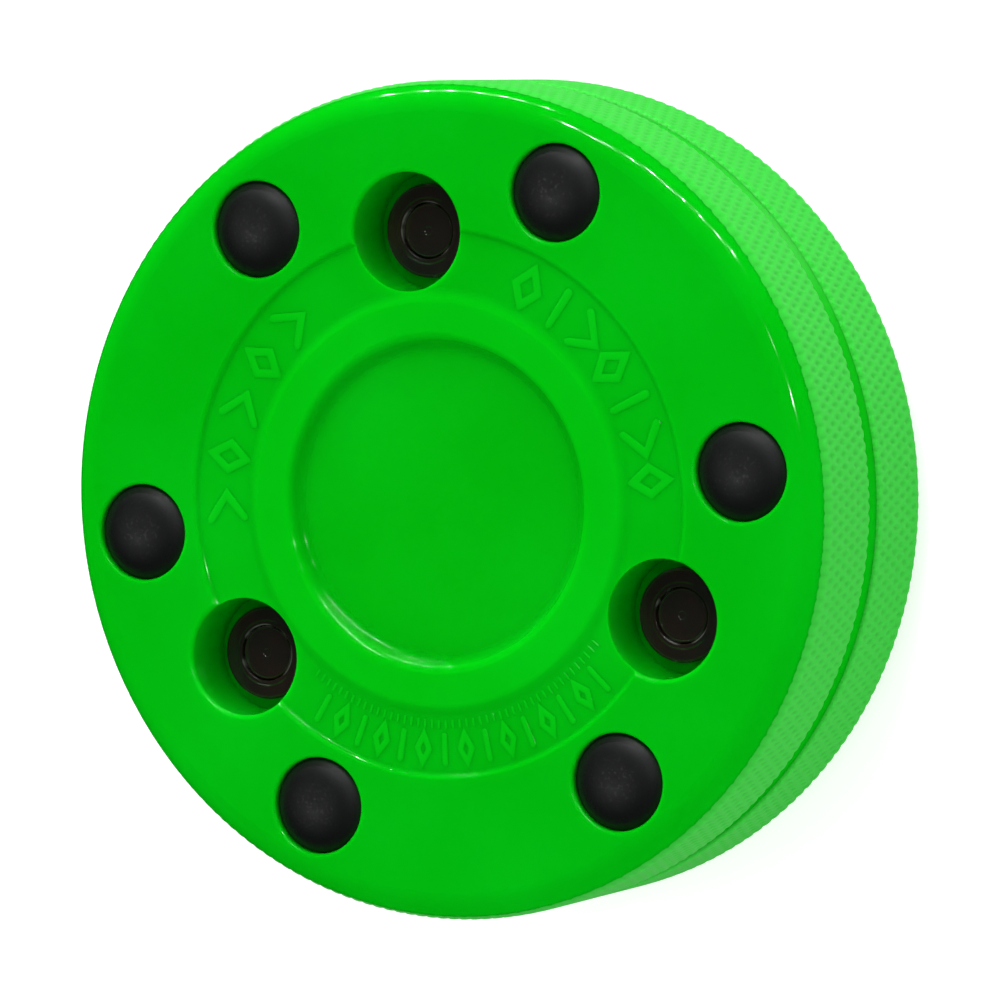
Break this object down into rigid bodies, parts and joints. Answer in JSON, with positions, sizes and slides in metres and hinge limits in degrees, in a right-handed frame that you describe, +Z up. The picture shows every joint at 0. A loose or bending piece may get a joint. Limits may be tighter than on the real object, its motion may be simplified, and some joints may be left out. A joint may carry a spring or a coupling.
{
  "type": "roller hockey puck",
  "caption": "Two-piece puck for off-ice hockey: green halves loosely riveted face to face, with domed black gliders on both faces and a diamond-grip rim.",
  "frame": {"origin": "centre of the puck, on the surface that its lower gliders stand on", "axes": "+Z up along the puck's own axis, out of the upper face; +X towards upper glider 1; rivet 1 is towards +Y"},
  "size_m": [0.0758, 0.0758, 0.0254],
  "materials": {
    "green_shell": "gloss",
    "black_glider": "satin",
    "dark_rivet": "gloss"
  },
  "bodies": {
    "bottom_half": {"bottom_half": "green_shell", "bottom_glider_1": "black_glider", "bottom_glider_2": "black_glider", "bottom_glider_3": "black_glider", "bottom_glider_4": "black_glider", "bottom_glider_5": "black_glider", "bottom_glider_6": "black_glider"},
    "top_half": {"top_half": "green_shell", "top_glider_1": "black_glider", "top_glider_2": "black_glider", "top_glider_3": "black_glider", "top_glider_4": "black_glider", "top_glider_5": "black_glider", "top_glider_6": "black_glider"},
    "rivet_1": {"rivet_barrel_1": "dark_rivet", "rivet_pin_1": "dark_rivet"},
    "rivet_2": {"rivet_barrel_2": "dark_rivet", "rivet_pin_2": "dark_rivet"},
    "rivet_3": {"rivet_barrel_3": "dark_rivet", "rivet_pin_3": "dark_rivet"}
  },
  "joints": [
    {"name": "top_half_lift", "type": "slide", "parent": "bottom_half", "child": "top_half", "axis": [0, 0, 1], "range_m": [0, 0.0008]},
    {"name": "rivet_1_spin", "type": "hinge", "parent": "top_half", "child": "rivet_1", "pos_m": [0, 0.0246, 0.0127], "axis": [0, 0, 1], "continuous": true},
    {"name": "rivet_2_spin", "type": "hinge", "parent": "top_half", "child": "rivet_2", "pos_m": [-0.0213, -0.0123, 0.0127], "axis": [0, 0, 1], "continuous": true},
    {"name": "rivet_3_spin", "type": "hinge", "parent": "top_half", "child": "rivet_3", "pos_m": [0.0213, -0.0123, 0.0127], "axis": [0, 0, 1], "continuous": true}
  ]
}
